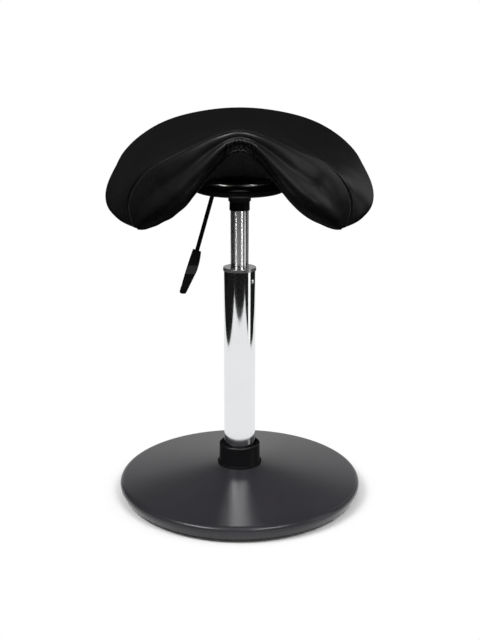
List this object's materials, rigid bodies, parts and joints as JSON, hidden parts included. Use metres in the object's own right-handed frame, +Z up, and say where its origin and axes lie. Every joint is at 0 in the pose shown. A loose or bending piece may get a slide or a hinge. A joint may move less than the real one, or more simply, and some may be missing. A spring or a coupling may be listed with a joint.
{
  "type": "saddle stool",
  "caption": "Height-adjustable saddle stool with a padded saddle seat, gas lift column, release lever and round rocking base.",
  "frame": {"origin": "on the floor, on the column's axis, under the middle of the base", "axes": "+Z up along the column, -Y towards the front that the sitter faces, +X to the right seen from the front"},
  "size_m": [0.4198, 0.3908, 0.6092],
  "materials": {
    "black_rubber": "matte",
    "plate_steel": "satin",
    "iron": "matte",
    "base_grey_plastic": "satin",
    "fastener_steel": "satin",
    "collar_plastic": "satin",
    "column_chrome": "polished",
    "bush_plastic": "matte",
    "cap_plastic": "satin",
    "rod_steel": "polished",
    "cylinder_chrome": "polished",
    "black_steel": "satin",
    "gloss_black_plastic": "gloss",
    "shell_plywood": "matte",
    "liner_cloth": "matte",
    "black_leatherette": "satin"
  },
  "bodies": {
    "base": {"rocker_sole": "black_rubber", "base_plate": "plate_steel", "ballast_disc": "iron", "base_cover": "base_grey_plastic", "cover_screws": "fastener_steel", "hub_socket": "plate_steel", "hub_bolts": "fastener_steel", "hub_collar": "collar_plastic", "column_tube": "column_chrome", "column_foot": "plate_steel", "guide_bush": "bush_plastic", "column_cap": "cap_plastic", "lower_race": "fastener_steel"},
    "bearing": {"bearing_balls": "fastener_steel", "bearing_cage": "fastener_steel"},
    "gas_rod": {"upper_race": "fastener_steel", "piston_rod": "rod_steel", "retaining_clip": "fastener_steel", "bump_stop": "black_rubber", "piston": "fastener_steel", "piston_seal": "black_rubber"},
    "seat": {"gas_cylinder": "cylinder_chrome", "pressure_tube": "rod_steel", "rod_seal": "black_rubber", "rod_guide": "bush_plastic", "valve_body": "fastener_steel", "cone_socket": "black_steel", "neck_ring": "collar_plastic", "mechanism_cover": "gloss_black_plastic", "dish_lid": "gloss_black_plastic", "dish_screws": "fastener_steel", "mechanism_housing": "black_steel", "mount_plate": "black_steel", "seat_screws": "fastener_steel", "insert_nuts": "fastener_steel", "pivot_pin": "fastener_steel", "seat_spacer": "collar_plastic", "seat_shell": "shell_plywood", "underside_liner": "liner_cloth", "seat_cushion": "black_leatherette"},
    "lever": {"lever_rod": "black_steel", "lever_grip": "collar_plastic"},
    "valve_pin": {"release_pin": "fastener_steel"}
  },
  "joints": [
    {"name": "seat_swivel", "type": "hinge", "parent": "base", "child": "gas_rod", "pos_m": [0, 0, 0.3], "axis": [0, 0, 1], "continuous": true},
    {"name": "bearing_roll", "type": "hinge", "parent": "base", "child": "bearing", "pos_m": [0, 0, 0.0235], "axis": [0, 0, 1], "continuous": true},
    {"name": "height_slide", "type": "slide", "parent": "gas_rod", "child": "seat", "axis": [0, 0, 1], "range_m": [-0.065, 0.135]},
    {"name": "lever_pivot", "type": "hinge", "parent": "seat", "child": "lever", "pos_m": [-0.022, 0, 0.5043], "axis": [0, 1, 0], "range_deg": [0, 9], "stiffness_Nm_per_rad": 3, "springref_deg": -11.46},
    {"name": "pin_press", "type": "slide", "parent": "seat", "child": "valve_pin", "axis": [0, 0, -1], "range_m": [0, 0.0038]}
  ],
  "couplings": [
    {"joint": "bearing_roll", "follows": "seat_swivel", "ratio": 0.5},
    {"joint": "pin_press", "follows": "lever_pivot", "m_per_rad": 0.024}
  ]
}
